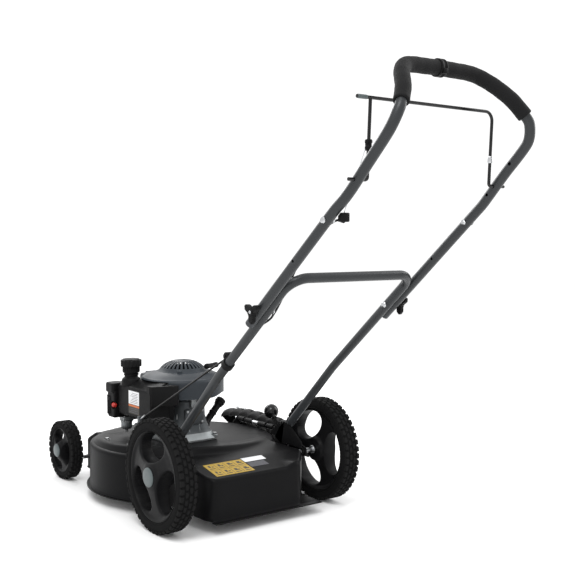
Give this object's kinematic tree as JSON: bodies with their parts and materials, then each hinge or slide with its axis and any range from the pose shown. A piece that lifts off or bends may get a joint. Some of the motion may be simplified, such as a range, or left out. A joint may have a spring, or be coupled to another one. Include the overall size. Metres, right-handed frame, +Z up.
{
  "type": "walk-behind rotary mower",
  "caption": "Walk-behind petrol rotary mower with a round steel deck, large rear wheels, side discharge deflector, folding tube handle and a brake bail.",
  "frame": {"origin": "on the ground under the middle of the mower's bounding box", "axes": "+Y forward, along the direction of mowing, +X to the mower's right, +Z up"},
  "size_m": [0.6348, 1.489, 1.0735],
  "materials": {
    "deck_paint": "satin black paint",
    "tube_paint": "satin gunmetal grey paint",
    "shroud_slate": "satin slate grey",
    "cast_aluminium": "as-cast, fine grain",
    "zinc": "zinc plated",
    "blade_steel": "ground steel",
    "black_plastic": "moulded black",
    "tyre_rubber": "matt black rubber",
    "foam": "soft foam",
    "cap_grey": "moulded grey",
    "primer_red": "red rubber",
    "cable_black": "black cable sleeve"
  },
  "bodies": {
    "chassis": {"deck_shell": "deck_paint", "deflector_rod": "zinc", "deflector_spring": "zinc", "left_handle_bracket": "deck_paint", "right_handle_bracket": "deck_paint", "crankcase": "cast_aluminium", "blower_shroud": "shroud_slate", "starter_housing": "shroud_slate", "fuel_tank": "black_plastic", "air_cleaner_base": "black_plastic", "air_cleaner_cover": "black_plastic", "carburettor": "cast_aluminium", "muffler": "deck_paint", "spark_plug": "zinc", "plug_boot": "cable_black", "oil_filler_tube": "black_plastic", "brake_bracket": "zinc", "lower_handle": "tube_paint", "cable_clip": "black_plastic", "brake_cable_lower": "cable_black"},
    "rotor": {"crankshaft": "zinc", "flywheel": "cast_aluminium", "blade_adapter": "zinc", "blade": "blade_steel", "blade_bolt": "zinc"},
    "deflector": {"deflector": "black_plastic"},
    "rear_height": {"rear_axle": "deck_paint", "rear_height_lever": "deck_paint", "ball_knob": "black_plastic"},
    "front_height": {"front_axle": "deck_paint", "front_height_lever": "deck_paint"},
    "fuel_cap": {"fuel_cap": "black_plastic"},
    "oil_cap": {"oil_cap": "black_plastic"},
    "primer": {"primer_bulb": "primer_red"},
    "starter_grip": {"starter_grip": "black_plastic"},
    "brake_lever": {"brake_lever": "zinc"},
    "upper_handle": {"upper_handle": "tube_paint", "foam_grip": "foam", "cable_anchor": "black_plastic", "brake_cable_upper": "cable_black", "left_guide_bolt": "zinc", "right_guide_bolt": "zinc", "left_fold_bolt": "zinc", "right_fold_bolt": "zinc"},
    "left_knob": {"left_wing_knob": "black_plastic"},
    "right_knob": {"right_wing_knob": "black_plastic"},
    "bail": {"bail": "deck_paint", "cable_hook": "black_plastic"},
    "rear_left_wheel": {"rear_left_tyre": "tyre_rubber", "rear_left_rim": "black_plastic", "rear_left_hub_cap": "cap_grey"},
    "rear_right_wheel": {"rear_right_tyre": "tyre_rubber", "rear_right_rim": "black_plastic", "rear_right_hub_cap": "cap_grey"},
    "front_left_wheel": {"front_left_tyre": "tyre_rubber", "front_left_rim": "black_plastic", "front_left_hub_cap": "cap_grey"},
    "front_right_wheel": {"front_right_tyre": "tyre_rubber", "front_right_rim": "black_plastic", "front_right_hub_cap": "cap_grey"}
  },
  "joints": [
    {"name": "rear_height_adjust", "type": "hinge", "parent": "chassis", "child": "rear_height", "pos_m": [-0.0275, 0.0875, 0.15], "axis": [1, 0, 0], "range_deg": [0, 50]},
    {"name": "front_height_adjust", "type": "hinge", "parent": "chassis", "child": "front_height", "pos_m": [-0.0275, 0.6255, 0.064], "axis": [1, 0, 0], "range_deg": [-65, 0]},
    {"name": "rear_left_spin", "type": "hinge", "parent": "rear_height", "child": "rear_left_wheel", "pos_m": [-0.279, 0.0275, 0.14], "axis": [1, 0, 0], "continuous": true},
    {"name": "rear_right_spin", "type": "hinge", "parent": "rear_height", "child": "rear_right_wheel", "pos_m": [0.224, 0.0275, 0.14], "axis": [1, 0, 0], "continuous": true},
    {"name": "front_left_spin", "type": "hinge", "parent": "front_height", "child": "front_left_wheel", "pos_m": [-0.2455, 0.6605, 0.0864], "axis": [1, 0, 0], "continuous": true},
    {"name": "front_right_spin", "type": "hinge", "parent": "front_height", "child": "front_right_wheel", "pos_m": [0.1905, 0.6605, 0.0864], "axis": [1, 0, 0], "continuous": true},
    {"name": "blade_spin", "type": "hinge", "parent": "chassis", "child": "rotor", "pos_m": [-0.0275, 0.3425, 0.047], "axis": [0, 0, 1], "continuous": true},
    {"name": "deflector_lift", "type": "hinge", "parent": "chassis", "child": "deflector", "pos_m": [0.2295, 0.3425, 0.16], "axis": [0, -1, 0], "range_deg": [0, 65], "stiffness_Nm_per_rad": 0.3, "springref_deg": -20.05},
    {"name": "handle_fold", "type": "hinge", "parent": "chassis", "child": "upper_handle", "pos_m": [-0.0275, -0.3195, 0.5605], "axis": [1, 0, 0], "range_deg": [-135, 0]},
    {"name": "bail_squeeze", "type": "hinge", "parent": "upper_handle", "child": "bail", "pos_m": [-0.0275, -0.6345, 0.829], "axis": [1, 0, 0], "range_deg": [0, 24], "stiffness_Nm_per_rad": 2, "springref_deg": -17.19},
    {"name": "brake_lever_turn", "type": "hinge", "parent": "chassis", "child": "brake_lever", "pos_m": [-0.1325, 0.3475, 0.207], "axis": [0, 0, 1], "range_deg": [0, 29]},
    {"name": "left_knob_turn", "type": "hinge", "parent": "upper_handle", "child": "left_knob", "pos_m": [-0.2455, -0.3195, 0.5605], "axis": [1, 0, 0], "continuous": true},
    {"name": "right_knob_turn", "type": "hinge", "parent": "upper_handle", "child": "right_knob", "pos_m": [0.1905, -0.3195, 0.5605], "axis": [1, 0, 0], "continuous": true},
    {"name": "fuel_cap_turn", "type": "hinge", "parent": "chassis", "child": "fuel_cap", "pos_m": [-0.1515, 0.4175, 0.352], "axis": [0, 0, 1], "range_deg": [0, 90]},
    {"name": "oil_cap_pull", "type": "slide", "parent": "chassis", "child": "oil_cap", "axis": [0.7316, 0.1977, 0.6525], "range_m": [0, 0.16]},
    {"name": "primer_push", "type": "slide", "parent": "chassis", "child": "primer", "axis": [1, 0, 0], "range_m": [0, 0.005], "stiffness_N_per_m": 400},
    {"name": "starter_pull", "type": "slide", "parent": "chassis", "child": "starter_grip", "axis": [0, -0.7507, 0.6606], "range_m": [0, 0.6], "stiffness_N_per_m": 8, "springref_m": -0.1}
  ],
  "couplings": [
    {"joint": "brake_lever_turn", "follows": "bail_squeeze", "ratio": 1.2}
  ]
}
